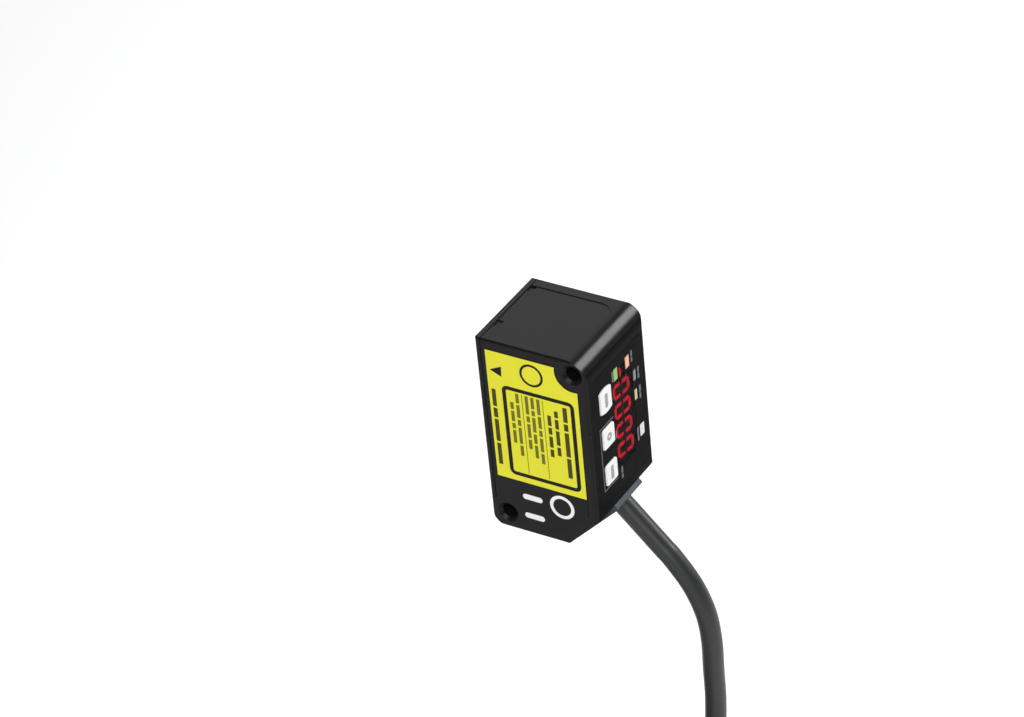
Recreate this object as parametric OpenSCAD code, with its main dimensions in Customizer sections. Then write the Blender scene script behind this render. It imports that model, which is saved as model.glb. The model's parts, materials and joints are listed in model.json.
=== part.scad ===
// Compact laser displacement sensor: a die-cast body with a window in front, a display and three keys
// behind, two mounting holes through opposite corners and a cable at the lower rear corner.
// Sizes are in millimetres. X runs from the front window to the rear display, Y from the label side to
// the mounting side, and Z up. The origin lies on the mounting side, midway between the two holes.

/* [Body] */
// Width from the label side to the mounting side
body_w = 22; // [22:0.5:28]
// Depth from the front window to the rear display
body_d = 24; // [24:0.5:30]
// Height of the body
body_h = 44; // [44:0.5:54]
// Thickness of the cast walls
wall = 1.4; // [1.2:0.1:1.7]
// Radius of the lower front corner
front_corner_r = 3; // [2:0.5:4]
// Radius of the rounded edge between top and rear
rear_top_r = 4; // [3:0.5:4.5]
// Leg of the bevel at the lower rear corner, where the cable leaves
bevel = 7.2; // [6.6:0.2:8]
// Radius of the upright rear edges
rear_edge_r = 0.8; // [0.6:0.1:1]
// Radius of the upright front edges
front_edge_r = 0.4; // [0.3:0.1:0.6]
// Radius of the long edges that run front to rear
side_edge_r = 0.4; // [0.2:0.1:0.6]
// Depth of the shallow field in the top
top_field_depth = 0.15; // [0.1:0.05:0.3]
// Margin of the shallow field along both sides
top_field_margin = 2.4; // [2:0.2:4]
// Corner radius of the shallow field
top_field_r = 3.5; // [2:0.5:4]

/* [Mounting holes] */
// Diameter of the two through holes, for M3 screws
hole_d = 3.2; // [3.1:0.1:3.4]
// Chamfer at the label end of each hole
hole_chamfer = 0.6; // [0.4:0.1:0.7]
// Distance of the upper hole from the top and the rear
upper_hole_inset = 3; // [2.8:0.1:3.4]
// Distance of the lower hole from the bottom and the front
lower_hole_inset = 3.6; // [3.2:0.1:4]
// Radius of the solid metal kept round each hole
boss_r = 3; // [2.6:0.1:3.2]

/* [Front cover] */
// Thickness of the acrylic front cover
cover_t = 1; // [0.8:0.1:1.2]
// Thickness of the seal behind the front cover
front_seal_t = 0.2; // [0.2:0.05:0.4]
// Height of the cast chin under the front cover
chin_h = 6.5; // [6:0.1:7]
// Gap between the chin and the front cover
chin_gap = 0.1; // [0.05:0.05:0.2]
// Thickness of the cast front wall that carries the cover
front_wall = 1.2; // [1:0.1:1.4]
// Width of the sealing rim round the front opening
front_rim = 1.4; // [1.2:0.1:1.8]
// Width of a cover hook
hook_w = 1.8; // [1.4:0.1:2.2]
// Reach of a cover hook into the body
hook_l = 1.1; // [0.9:0.1:1.3]
// Thickness of a cover hook
hook_t = 0.45; // [0.35:0.05:0.5]
// Depth of the notch that a hook lies in
notch_depth = 0.9; // [0.85:0.05:1]
// Clearance of a hook in its notch
hook_gap = 0.1; // [0.05:0.05:0.15]
// Distance of the first hook from the label side
near_hook_y = 6; // [4:0.5:9]
// Distance of the second hook from the mounting side
far_hook_y = 3.5; // [3:0.5:6]
// Thickness of the aperture plate behind the front opening
aperture_t = 0.4; // [0.3:0.05:0.5]
// Diameter of the beam hole in the aperture plate
beam_hole_d = 3.4; // [2.6:0.2:4]
// Width and height of the receiving slot in the aperture plate
slot_w = 8; // [6:0.5:9]
slot_h = 9; // [7:0.5:10]

/* [Rear panel] */
// Thickness of the display panel
panel_t = 1.2; // [1:0.1:1.4]
// Margin between the panel and the body's sides
panel_side = 1.4; // [1.3:0.1:1.7]
// Height of the panel's lower edge above the bottom
panel_foot = 9; // [8.8:0.1:9.2]
// Distance of the panel's upper edge below the top
panel_head = 5.2; // [5:0.1:5.6]
// Corner radius of the panel
panel_r = 1.2; // [0.8:0.1:1.6]
// Gap round the panel
panel_gap = 0.1; // [0.05:0.05:0.15]
// Thickness of the panel seal
panel_seal_t = 0.4; // [0.3:0.05:0.5]
// Width of the ledge under the panel seal
ledge_w = 1.4; // [1.2:0.1:1.5]
// Thickness of that ledge
ledge_t = 1.2; // [1:0.1:1.4]
// Diameter of the posts that carry the display board
post_d = 1.6; // [1.5:0.1:1.7]
// Inset of the posts from the panel's sides
post_side = 2.5; // [2.4:0.1:2.7]
// Inset of the posts from the panel's ends
post_end = 2.4; // [2.35:0.05:2.45]

/* [Keys] */
// Width of a key, across the body
key_w = 4.2; // [3.6:0.1:4.2]
// Height of a key
key_h = 4.6; // [4:0.1:4.8]
// Distance of the keys from the panel's label side edge
key_inset = 2.6; // [2.5:0.1:2.8]
// Height of the lowest key above the panel's lower edge
key_foot = 4.2; // [4.1:0.1:4.8]
// Distance of the upper key below the panel's upper edge
key_head = 4.2; // [4.15:0.05:4.8]
// Rise of the arched ends of the upper key
key_arch = 0.45; // [0.3:0.05:0.45]
// Corner radius of the other keys
key_r = 0.5; // [0.3:0.1:0.8]
// Height of a key above the panel
key_proud = 0.3; // [0.3:0.05:0.6]
// Travel of a key
key_travel = 0.25; // [0.15:0.05:0.25]
// Gap round a key in the panel
key_gap = 0.15; // [0.1:0.05:0.2]
// Width of the rim that keeps a key behind the panel
key_rim = 0.4; // [0.3:0.05:0.4]
// Thickness of that rim
key_rim_t = 0.6; // [0.4:0.1:0.6]
// Gap between that rim and the panel at rest
key_rim_gap = 0.1; // [0.05:0.05:0.15]
// Diameter of the stem under a key
key_stem_d = 2; // [1.6:0.1:2.4]
// Free gap between a pressed key and its switch
switch_gap = 0.15; // [0.1:0.05:0.25]
// Side of a key switch
switch_side = 3.5; // [3:0.1:3.8]
// Height of a key switch's case
switch_h = 1.3; // [1:0.1:1.4]
// Diameter of a switch's plunger
plunger_d = 1.8; // [1.4:0.1:2]
// Height of that plunger
plunger_h = 0.5; // [0.4:0.05:0.6]

/* [Display] */
// Number of digits
digit_count = 4; // [1:1:4]
// Gap between neighbouring digits
digit_gap = 1.25; // [1:0.05:1.5]
// Thickness of a segment
segment_t = 0.72; // [0.6:0.02:0.8]
// Gap between neighbouring segments
segment_gap = 0.1; // [0.05:0.05:0.15]
// Sideways lean of a digit over its height
digit_lean = 0.6; // [0:0.1:0.8]
// Distance of the window's lower end above the panel's lower edge
window_foot = 5.3; // [5:0.1:6]
// Distance of the window's upper end below the panel's upper edge
window_head = 2.85; // [2.6:0.05:3.2]
// Gap between the window and the keys
window_key_gap = 1; // [0.8:0.1:1.4]
// Gap between the window and the side lamps
window_lamp_gap = 0.4; // [0.4:0.05:0.8]
// Length of the minus sign
minus_l = 2.3; // [1.8:0.1:2.4]
// Gap between the minus sign and the first digit
minus_gap = 0.6; // [0.5:0.05:0.8]
// Margin of the window round the digits
window_margin = 0.6; // [0.4:0.05:0.6]
// Thickness of the display window
window_t = 0.4; // [0.3:0.05:0.5]
// Gap between the segments and the window
window_air = 0.1; // [0.08:0.02:0.2]
// Height of the segments above the display's face
segment_rise = 0.1; // [0.05:0.05:0.15]
// Gap round the window and the lamps
inlay_gap = 0.05; // [0.03:0.01:0.08]

/* [Lamps] */
// Width and height of the two main lamps
main_lamp_w = 1.5; // [1.2:0.1:1.6]
main_lamp_h = 2.7; // [2:0.1:2.8]
// Width and height of the two side lamps
side_lamp_w = 1; // [0.8:0.1:1.2]
side_lamp_h = 2.4; // [1.8:0.1:2.6]
// Distance of the main lamps from the panel's upper edge
main_lamp_drop = 3.5; // [3.3:0.1:3.7]
// Gap between the main lamps and the window's neck
main_lamp_gap = 0.55; // [0.5:0.05:0.7]
// Distance of the side lamps from the panel's mounting side edge
side_lamp_inset = 3.2; // [3:0.1:3.4]
// Distance of the upper side lamp from the panel's upper edge
side_lamp_drop = 8.1; // [7.8:0.1:8.4]
// Distance between the side lamps
side_lamp_pitch = 4.5; // [4:0.1:4.6]
// Height of a lamp's light source on the board
led_h = 0.6; // [0.4:0.1:0.7]
// Side of that light source
led_side = 0.9; // [0.7:0.1:1]
// Gap between light source and lamp
led_air = 0.2; // [0.1:0.05:0.3]

/* [Label] */
// Thickness of the label
label_t = 0.1; // [0.08:0.01:0.15]
// Margin between the label and the body's outline
label_margin = 2.1; // [1.8:0.1:2.6]
// Radius of the label's cut-out round the upper hole
upper_cut_r = 3.85; // [3:0.05:4.2]
// Radius of the label's cut-out round the lower hole
lower_cut_r = 2.9; // [2.6:0.05:3.4]

/* [Boards] */
// Thickness of the circuit boards
board_t = 0.8; // [0.6:0.1:1]
// Depth of the display board's face behind the panel's inner face
display_space = 3.4; // [3.3:0.1:3.6]
// Gap between the display board and the ledge's opening
board_gap = 0.4; // [0.3:0.1:0.5]
// Height of the pads that carry the main board
board_pad_h = 1.5; // [1.2:0.1:1.8]
// Diameter of those pads
board_pad_d = 3.4; // [3:0.1:3.6]
// Gap between the main board and the body's inner walls
main_gap = 0.6; // [0.5:0.1:0.8]
// Thickness of the main board's chips
chip_t = 1; // [0.8:0.1:1.2]
// Side of the processor chip
processor_side = 7; // [5:0.5:7]
// Side of the supply chip
supply_side = 4; // [3:0.5:4]
// Length of a board connector
connector_l = 6; // [4:0.5:6]
// Depth of a board connector
connector_w = 2; // [1.6:0.1:2]
// Height of a board connector
connector_h = 1; // [0.8:0.1:1]
// Height of the board connectors above the panel's lower edge
flex_foot = 14; // [13:0.5:15]
// Bend radius of the flexible strip between the boards
flex_r = 2.6; // [2.4:0.1:2.8]
// Margin of the flexible strip in its connectors
flex_margin = 0.5; // [0.3:0.1:0.8]
// Thickness of the flexible strip
flex_t = 0.2; // [0.15:0.05:0.3]

/* [Optics] */
// Distance of the beam's axis below the top
beam_drop = 6.5; // [6.3:0.1:6.8]
// Thickness of the optics base
base_t = 2; // [1.8:0.1:2.2]
// Height of the pads under the optics base
base_pad_h = 1.5; // [1.2:0.1:1.6]
// Diameter of those pads
base_pad_d = 5; // [4.6:0.1:5.4]
// Gap between the optics base and the pieces before and behind it
base_gap = 0.4; // [0.3:0.1:0.6]
// Outer diameter of the laser barrel
barrel_d = 7; // [6.6:0.1:7.2]
// Length of the laser barrel
barrel_l = 10; // [9:0.5:11]
// Wall of the optics base round the barrel
barrel_wall = 1; // [0.8:0.1:1.1]
// Running clearance between barrel, lenses and their seats
seat_gap = 0.03; // [0.02:0.01:0.05]
// Diameter of the laser diode's flange
diode_flange_d = 5.6; // [5.2:0.1:5.6]
// Thickness of that flange
diode_flange_t = 1.2; // [1:0.1:1.4]
// Diameter of the laser diode's cap
diode_cap_d = 3.6; // [3:0.1:3.8]
// Length of that cap
diode_cap_l = 2.4; // [2:0.1:2.6]
// Radius of the circle that the diode's pins stand on
pin_ring_r = 1.27; // [1:0.01:1.4]
// Diameter and length of the diode's pins
pin_d = 0.45; // [0.35:0.05:0.5]
pin_l = 2.5; // [2:0.1:3]
// Diameter of the beam lens
beam_lens_d = 5; // [4.6:0.1:5.2]
// Edge thickness of the beam lens
beam_lens_edge = 1.2; // [1:0.1:1.4]
// Bulge of the beam lens
beam_lens_bulge = 0.8; // [0.6:0.1:0.9]
// Diameter of the receiving lens
lens_d = 9; // [8:0.1:9.4]
// Edge thickness of the receiving lens
lens_edge = 1.6; // [1.4:0.1:1.8]
// Bulge of each face of the receiving lens
lens_bulge = 0.9; // [0.7:0.1:1]
// Wall of the optics base round the receiving lens
lens_wall = 1.1; // [0.9:0.1:1.2]
// Depth of the receiving lens block
lens_block_d = 5.6; // [5.2:0.1:6]
// Tilt of the receiving axis towards the target
receive_tilt = 20; // [18:1:22]
// Distance of the optics base above the metal round the lower hole
base_foot = 3.8; // [3:0.1:4]
// Margin of the optics base round its blocks and screws
base_margin = 2; // [1.6:0.1:2.2]
// Width, height and thickness of the image chip
image_w = 4; // [3:0.5:5]
image_h = 8; // [6:0.5:8]
image_t = 1.2; // [1:0.1:1.2]
// Height of the image chip's board
image_board_h = 10; // [9:0.5:10]
// Gap between that board and the optics base
image_gap = 0.1; // [0.1:0.05:0.3]
// Height and thickness of the foot behind that board
image_foot_h = 5; // [4:0.5:6]
image_foot_t = 1.6; // [1.4:0.1:1.8]
// Diameter of the screws in the optics base
screw_d = 2; // [1.8:0.1:2.2]
// Depth of a screw in its pad and wall
screw_bite = 2.2; // [2:0.1:2.3]
// Clearance of the screws in the optics base
screw_gap = 0.1; // [0.05:0.05:0.2]
// Diameter and height of a screw's head
screw_head_d = 3.6; // [3.2:0.1:3.8]
screw_head_h = 1.3; // [1.1:0.1:1.5]

/* [Cable] */
// Diameter of the cable
cable_d = 4.3; // [4:0.1:4.5]
// Width of the boot, across the body
boot_w = 10.6; // [9:0.2:12]
// Length of the boot along the bevel
boot_l = 9.6; // [9:0.1:9.8]
// Height of the boot above the bevel
boot_h = 1.1; // [0.8:0.1:1.4]
// Corner radius of the boot
boot_r = 0.6; // [0.4:0.1:1]
// Distance of the cable below the boot's upper end
boot_exit = 2.8; // [2.6:0.1:3.4]
// Diameter of the boot's neck in the body
neck_d = 5.2; // [4.8:0.1:5.4]
// Length of that neck
neck_l = 3; // [2.4:0.1:3.2]
// Clearance of the neck in the body
neck_gap = 0.1; // [0.05:0.05:0.15]
// Thickness of the cable's sheath
sheath_t = 0.3; // [0.2:0.05:0.4]
// Number of cores in the cable
core_count = 5; // [3:1:6]
// Diameter of a core
core_d = 1.1; // [0.9:0.1:1.2]
// Free length of the cores at the cable's end
core_l = 22; // [15:1:30]
// Diameter of the inner leads, where the cores go on without the sheath
lead_d = 0.5; // [0.4:0.05:0.5]
// Distance between the leads at the boot
lead_pitch = 0.85; // [0.8:0.05:0.9]
// Distance of the leads' middle below the middle of the boot's neck
lead_drop = 0.5; // [0.4:0.1:0.6]
// Distance between the leads on the main board
land_pitch = 1.2; // [1:0.1:1.4]
// Solder gap between the leads and the main board
land_gap = 0.05; // [0.05:0.05:0.1]
// Turns of the coil side by side, outwards
coil_layers = 3; // [2:1:3]
// Turns of the coil on top of each other
coil_rows = 4; // [3:1:4]
// Radius of the coil at the middle of its turns
coil_r = 25; // [24:0.5:27]
// Length of the straight end that leaves the coil
tail_l = 24; // [22:1:30]
// Width of the tie round the coil
tie_w = 4; // [3:0.5:6]
// Thickness of the tie
tie_t = 0.6; // [0.4:0.1:1]
// Gap between the tie and the coil's sides
tie_gap = 0.15; // [0.12:0.01:0.3]

/* [Hidden] */
$fn = 48;
spill = 1;          // how far a cutter runs past the faces that it cuts
pad_root = 0.5;     // how deep a cast pad starts inside its wall
mid_y = body_w / 2;

// Mounting holes, as [x, z]
upper_hole = [body_d - upper_hole_inset, body_h - upper_hole_inset];
lower_hole = [lower_hole_inset, lower_hole_inset];
hole_mid = (upper_hole + lower_hole) / 2;

// Planes from front to rear
seat_x = cover_t + front_seal_t;
cavity_x0 = seat_x + front_wall;
panel_x0 = body_d - panel_t;
ledge_x1 = panel_x0 - panel_seal_t;
ledge_x0 = ledge_x1 - ledge_t;
board_x1 = panel_x0 - display_space;
board_x0 = board_x1 - board_t;

// Openings, as low and high corners in [y, z]
front_open = [[wall + front_rim, chin_h + front_rim],
    [body_w - wall - front_rim, body_h - wall - front_rim]];
panel_lo = [panel_side, panel_foot];
panel_hi = [body_w - panel_side, body_h - panel_head];
ledge_lo = panel_lo + [ledge_w, ledge_w];
ledge_hi = panel_hi - [ledge_w, ledge_w];

// Keys, as the low corner in [y, z], with the upper key first
key_y = panel_lo.x + key_inset;
key_pitch = (panel_hi.y - panel_lo.y - key_foot - key_head - key_h) / 2;
key_z = [for (i = [2, 1, 0]) panel_lo.y + key_foot + i * key_pitch];
key_back = panel_x0 - key_rim_gap - key_rim_t;
plunger_x = board_x1 + switch_h + plunger_h;
stem_x = plunger_x + switch_gap + key_travel;

// Digits and lamps, as middles in [y, z]; the window lies between the keys and the side lamps
window_y0 = key_y + key_w + window_key_gap;
window_y1 = panel_hi.x - side_lamp_inset - side_lamp_w / 2 - window_lamp_gap;
digit_h = window_y1 - window_y0 - 2 * window_margin;
digit_y = (window_y0 + window_y1) / 2;
minus_z = panel_hi.y - window_head - window_margin - minus_l / 2;
digits_z0 = panel_lo.y + window_foot + window_margin + digit_lean / 2;
digits_z1 = minus_z - minus_l / 2 - minus_gap - digit_lean / 2;
digit_pitch = (digits_z1 - digits_z0 + digit_gap) / digit_count;
digit_w = digit_pitch - digit_gap;
digit_z = [for (i = [0 : digit_count - 1]) digits_z1 - digit_w / 2 - i * digit_pitch];
main_lamp_out = segment_t / 2 + window_margin + main_lamp_gap + main_lamp_w / 2;
window_x0 = body_d - window_t;
display_face = window_x0 - window_air - segment_rise;
main_lamp_z = panel_hi.y - main_lamp_drop;
laser_lamp_at = [digit_y - main_lamp_out, main_lamp_z];
output_lamp_at = [digit_y + main_lamp_out, main_lamp_z];
mode_lamp_at = [panel_hi.x - side_lamp_inset, panel_hi.y - side_lamp_drop];
zero_lamp_at = mode_lamp_at - [0, side_lamp_pitch];
lamp_x0 = board_x1 + led_h + led_air;

// Main board, as low and high corners in [x, z], and its faces
main_y1 = body_w - wall - board_pad_h;
main_y0 = main_y1 - board_t;
main_lo = [cavity_x0 + main_gap, lower_hole.y + boss_r + main_gap];
main_hi = [upper_hole.x - boss_r - main_gap, body_h - wall - main_gap];
main_pads = [for (x = [main_lo.x + board_pad_d, main_hi.x - board_pad_d],
    z = [main_lo.y + board_pad_d, main_hi.y - board_pad_d]) [x, z]];
flex_z = panel_lo.y + flex_foot;
flex_at = [board_x0 - connector_h / 2 - flex_r, main_y0 - connector_h / 2 - flex_r];

// Optics: the base lies on pads on the label side
barrel_half = barrel_d / 2 + barrel_wall;
lens_half = lens_d / 2 + lens_wall;
base_y0 = wall + base_pad_h;
base_y1 = base_y0 + base_t;
base_x0 = cavity_x0 + aperture_t + base_gap;
beam_z = body_h - beam_drop;
diode_x = base_x0 + barrel_l;   // rear face of the barrel, where the diode's flange is flush
base_lo = [base_x0, lower_hole.y + boss_r + base_foot];
base_hi = [board_x0 - 2 * base_gap, beam_z + barrel_half];
receive_z = base_lo.y + base_margin + lens_half;
screw_z = (receive_z + lens_half + beam_z - barrel_half) / 2;
screw_inset = screw_head_d / 2 + base_margin / 2;
base_screw_at = [[base_lo.x + screw_inset, screw_z], [base_hi.x - screw_inset, screw_z]];

// The image chip's board stands as far behind the lens as the display board allows
lens_at = [base_x0 + lens_block_d / 2, mid_y, receive_z];
receive_dir = [cos(receive_tilt), 0, -sin(receive_tilt)];
image_reach = board_x0 - base_gap - lens_at.x - image_foot_h / 2 * sin(receive_tilt);
image_dist = image_reach / cos(receive_tilt) - image_t - board_t - image_foot_t;
image_board_w = 2 * (mid_y - base_y1 - image_gap);

// Cable exit: along the bevel's own axes, from its lower edge on the label side
bevel_up = [cos(45), 0, sin(45)];
bevel_out = [cos(45), 0, -sin(45)];
bevel_l = bevel / cos(45);
exit_at = [body_d - bevel, mid_y, 0] + (bevel_l - boot_exit) * bevel_up + boot_h * bevel_out;
neck_end = exit_at - (boot_h + neck_l) * bevel_out;

// Cable route in the part's own frame: straight out of the boot, down, and over to the coil
frame_shift = [hole_mid.x, body_w, hole_mid.y];
cable_exit = exit_at - frame_shift;
cable_bends = [[25, -11, -33.7], [27.5, -11, -39.7], [28.4, -11, -46.2], [28.4, -11, -54],
    [28.4, -11, -61], [28.4, -11.9, -67.5], [28.4, -14.4, -73.5], [28.4, -18.3, -78.7],
    [28.4, -23.5, -82.6], [28.4, -29.5, -85.1], [28.4, -36, -86], [28.4, -42, -86]];
cable_route = concat([for (s = [0, 4, 8, 12, 15]) cable_exit + s * bevel_out], cable_bends);
cable_end = cable_bends[len(cable_bends) - 1];
sweep_ref = [1, 0.2, 0.6];

// Coil: it lies flat, and its outer turn starts where the route ends
coil_half = coil_layers * cable_d / 2;
coil_height = coil_rows * cable_d;
coil_outer_turn = coil_r + coil_half - cable_d / 2;
coil_at = [cable_end.x - coil_outer_turn, cable_end.y, cable_end.z - coil_height + cable_d / 2];
tail_at = [cable_end.x, cable_end.y, coil_at.z + cable_d / 2];
core_ring_r = cable_d / 2 - core_d / 2 - sheath_t;

// Helpers

module in_frame() { translate(-frame_shift) children(); }

// Extrusions along one axis: the flat shape is drawn in the other two, in X, Y, Z order
module along_x(x0, x1) { translate([x0, 0, 0]) rotate([90, 0, 90]) linear_extrude(x1 - x0) children(); }
module along_y(y0, y1) { translate([0, y1, 0]) rotate([90, 0, 0]) linear_extrude(y1 - y0) children(); }
module along_z(z0, z1) { translate([0, 0, z0]) linear_extrude(z1 - z0) children(); }

module rect(lo, hi) { translate(lo) square(hi - lo); }
module block(lo, hi) { translate(lo) cube(hi - lo); }

// Rod from one point to another along X or Y
module rod_x(x0, x1, y, z, d) { translate([x0, y, z]) rotate([0, 90, 0]) cylinder(d = d, h = x1 - x0); }
module rod_y(y0, y1, x, z, d) { translate([x, y0, z]) rotate([-90, 0, 0]) cylinder(d = d, h = y1 - y0); }

// What a rounded corner takes away at p; inwards points from the corner into the shape
module corner_cut(p, inwards, r) {
    far = p + r * inwards;
    near = p - spill * inwards;
    difference() {
        rect([min(far.x, near.x), min(far.y, near.y)], [max(far.x, near.x), max(far.y, near.y)]);
        translate(far) circle(r);
    }
}

// Rectangle with a radius for each corner: low-low, high-low, high-high, low-high
module round_rect(lo, hi, radii) {
    difference() {
        rect(lo, hi);
        corner_cut(lo, [1, 1], radii[0]);
        corner_cut([hi.x, lo.y], [-1, 1], radii[1]);
        corner_cut(hi, [-1, -1], radii[2]);
        corner_cut([lo.x, hi.y], [1, -1], radii[3]);
    }
}
function all_corners(r) = [r, r, r, r];

// Stands children, drawn along +Z, on the receiving axis at a distance from the lens
module on_receive_axis(distance) {
    translate(lens_at + distance * receive_dir) rotate([0, 90 + receive_tilt, 0]) children();
}

// Stands children, drawn along +Z, on the bevel's outward direction
module on_bevel(p) { translate(p) rotate([0, 135, 0]) children(); }

// Tube along a list of points
function unit(v) = v / norm(v);
function tangent(path, i) = unit(path[min(i + 1, len(path) - 1)] - path[max(i - 1, 0)]);
function ring(c, t, r, sides) =
    let (u = unit(cross(t, sweep_ref)), v = cross(t, u))
    [for (j = [0 : sides - 1]) c + r * (cos(360 * j / sides) * u + sin(360 * j / sides) * v)];
module sweep(path, r, sides) {
    n = len(path);
    points = [for (i = [0 : n - 1]) each ring(path[i], tangent(path, i), r, sides)];
    walls = [for (i = [0 : n - 2], j = [0 : sides - 1])
        let (k = (j + 1) % sides) [i * sides + j, (i + 1) * sides + j, (i + 1) * sides + k, i * sides + k]];
    start = [for (j = [0 : sides - 1]) j];
    finish = [for (j = [sides - 1 : -1 : 0]) (n - 1) * sides + j];
    polyhedron(points, concat([start], walls, [finish]));
}

// Body

module side_outline() {
    difference() {
        rect([0, 0], [body_d, body_h]);
        corner_cut([0, 0], [1, 1], front_corner_r);
        corner_cut([body_d, body_h], [-1, -1], rear_top_r);
        bevel_cut(0);
    }
}

// What the bevel takes away, moved inwards by a wall's thickness
module bevel_cut(inset) {
    x = body_d - bevel - inset / cos(45);
    polygon([[x - spill, -spill], [body_d + spill, -spill], [body_d + spill, body_d - x + spill]]);
}

module plan_outline() {
    round_rect([0, 0], [body_d, body_w], [front_edge_r, rear_edge_r, rear_edge_r, front_edge_r]);
}

module envelope() {
    intersection() {
        along_y(0, body_w) side_outline();
        along_z(0, body_h) plan_outline();
        along_x(0, body_d) round_rect([0, 0], [body_w, body_h], all_corners(side_edge_r));
    }
}

// Hollow of the body in side view, clear of the bevel and of the metal round the mounting holes
module cavity_outline() {
    upper = upper_hole - [boss_r, boss_r];
    lower = lower_hole + [boss_r, boss_r];
    difference() {
        rect([cavity_x0, wall], [ledge_x0, body_h - wall]);
        difference() {
            rect(upper, [body_d, body_h]);
            corner_cut(upper, [1, 1], boss_r);
        }
        difference() {
            rect([0, 0], lower);
            corner_cut(lower, [-1, -1], boss_r);
        }
        bevel_cut(wall);
    }
}

module hook_notch(y, gap) {
    block([seat_x - spill, y - hook_w / 2 - gap, body_h - notch_depth],
        [seat_x + hook_l + gap, y + hook_w / 2 + gap, body_h + spill]);
}

module mounting_hole(at) {
    rod_y(-spill, body_w + spill, at.x, at.y, hole_d);
    translate([at.x, -spill, at.y]) rotate([-90, 0, 0])
        cylinder(d1 = hole_d + 2 * (hole_chamfer + spill), d2 = hole_d, h = hole_chamfer + spill);
}

module housing() {
    color("#2b2b2d") in_frame() difference() {
        union() {
            difference() {
                envelope();
                block([-spill, -spill, chin_h], [seat_x, body_w + spill, body_h + spill]);
                along_y(wall, body_w - wall) cavity_outline();
                along_x(seat_x - spill, cavity_x0 + spill) rect(front_open[0], front_open[1]);
                along_x(ledge_x1, body_d + spill) panel_outline(panel_gap);
                along_x(ledge_x0 - spill, ledge_x1 + spill) rect(ledge_lo, ledge_hi);
                along_z(body_h - top_field_depth, body_h + spill)
                    round_rect([seat_x - spill, top_field_margin],
                        [body_d - rear_top_r, body_w - top_field_margin],
                        [side_edge_r, top_field_r, top_field_r, side_edge_r]);
                hook_notch(near_hook_y, hook_gap);
                hook_notch(body_w - far_hook_y, hook_gap);
                on_bevel(neck_end) cylinder(d = neck_d + 2 * neck_gap, h = neck_l + boot_h + spill);
            }
            for (p = base_screw_at) rod_y(wall - pad_root, base_y0, p.x, p.y, base_pad_d);
            for (p = main_pads) rod_y(main_y1, body_w - wall + pad_root, p.x, p.y, board_pad_d);
        }
        mounting_hole(upper_hole);
        mounting_hole(lower_hole);
        for (p = base_screw_at) rod_y(base_y0 - screw_bite, base_y0 + spill, p.x, p.y, screw_d);
    }
}

// Front

module front_cover() {
    color("#1a1012") in_frame() {
        intersection() {
            envelope();
            block([-spill, -spill, chin_h + chin_gap], [cover_t, body_w + spill, body_h + spill]);
        }
        for (y = [near_hook_y, body_w - far_hook_y])
            block([cover_t, y - hook_w / 2, body_h - notch_depth + hook_gap / 2],
                [seat_x + hook_l, y + hook_w / 2, body_h - notch_depth + hook_gap / 2 + hook_t]);
    }
}

module front_seal() {
    edge = front_rim / 2;
    color("#202020") in_frame() along_x(cover_t, seat_x) difference() {
        rect([wall, chin_h + edge], [body_w - wall, body_h - wall]);
        rect(front_open[0], front_open[1]);
    }
}

module aperture_plate() {
    color("#0c0c0c") in_frame() along_x(cavity_x0, cavity_x0 + aperture_t) difference() {
        rect([wall + main_gap, chin_h + main_gap], [body_w - wall - main_gap, body_h - wall - main_gap]);
        translate([mid_y, beam_z]) circle(d = beam_hole_d);
        rect([mid_y - slot_w / 2, receive_z - slot_h / 2], [mid_y + slot_w / 2, receive_z + slot_h / 2]);
    }
}

// Rear panel with its window, keys and lamps

module panel_outline(gap) {
    round_rect(panel_lo - [gap, gap], panel_hi + [gap, gap], all_corners(panel_r + gap));
}

// Rectangle whose two ends bulge by an arc
module arched_rect(lo, hi, rise) {
    half = (hi.x - lo.x) / 2;
    r = (half * half + rise * rise) / (2 * rise);
    intersection() {
        rect(lo - [0, rise], hi + [0, rise]);
        translate([lo.x + half, hi.y + rise - r]) circle(r);
        translate([lo.x + half, lo.y - rise + r]) circle(r);
    }
}

module key_outline(i, gap) {
    lo = [key_y - gap, key_z[i] - gap];
    hi = [key_y + key_w + gap, key_z[i] + key_h + gap];
    if (i == 0) arched_rect(lo, hi, key_arch);
    else round_rect(lo, hi, all_corners(key_r + gap));
}

module window_outline(gap) {
    side = digit_h / 2 + window_margin + gap;
    end = digit_w / 2 + digit_lean / 2 + window_margin + gap;
    neck = segment_t / 2 + window_margin + gap;
    rect([digit_y - side, digit_z[digit_count - 1] - end], [digit_y + side, digit_z[0] + end]);
    rect([digit_y - neck, digit_z[0]], [digit_y + neck, minus_z + minus_l / 2 + window_margin + gap]);
}

module lamp_outline(at, w, h, gap) {
    rect(at - [w / 2 + gap, h / 2 + gap], at + [w / 2 + gap, h / 2 + gap]);
}

module rear_panel() {
    color("#141416") in_frame() {
        along_x(panel_x0, body_d) difference() {
            panel_outline(0);
            window_outline(inlay_gap);
            for (i = [0 : 2]) key_outline(i, key_gap);
            for (at = [laser_lamp_at, output_lamp_at])
                lamp_outline(at, main_lamp_w, main_lamp_h, inlay_gap);
            for (at = [mode_lamp_at, zero_lamp_at])
                lamp_outline(at, side_lamp_w, side_lamp_h, inlay_gap);
        }
        for (y = [panel_lo.x + post_side, panel_hi.x - post_side],
            z = [panel_lo.y + post_end, panel_hi.y - post_end])
            rod_x(board_x1, panel_x0 + panel_t / 2, y, z, post_d);
    }
}

module panel_seal() {
    color("#303030") in_frame() along_x(ledge_x1, panel_x0) difference() {
        panel_outline(0);
        rect(ledge_lo, ledge_hi);
    }
}

module display_window() {
    color("#2a1014") in_frame() along_x(window_x0, body_d) window_outline(0);
}

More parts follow.
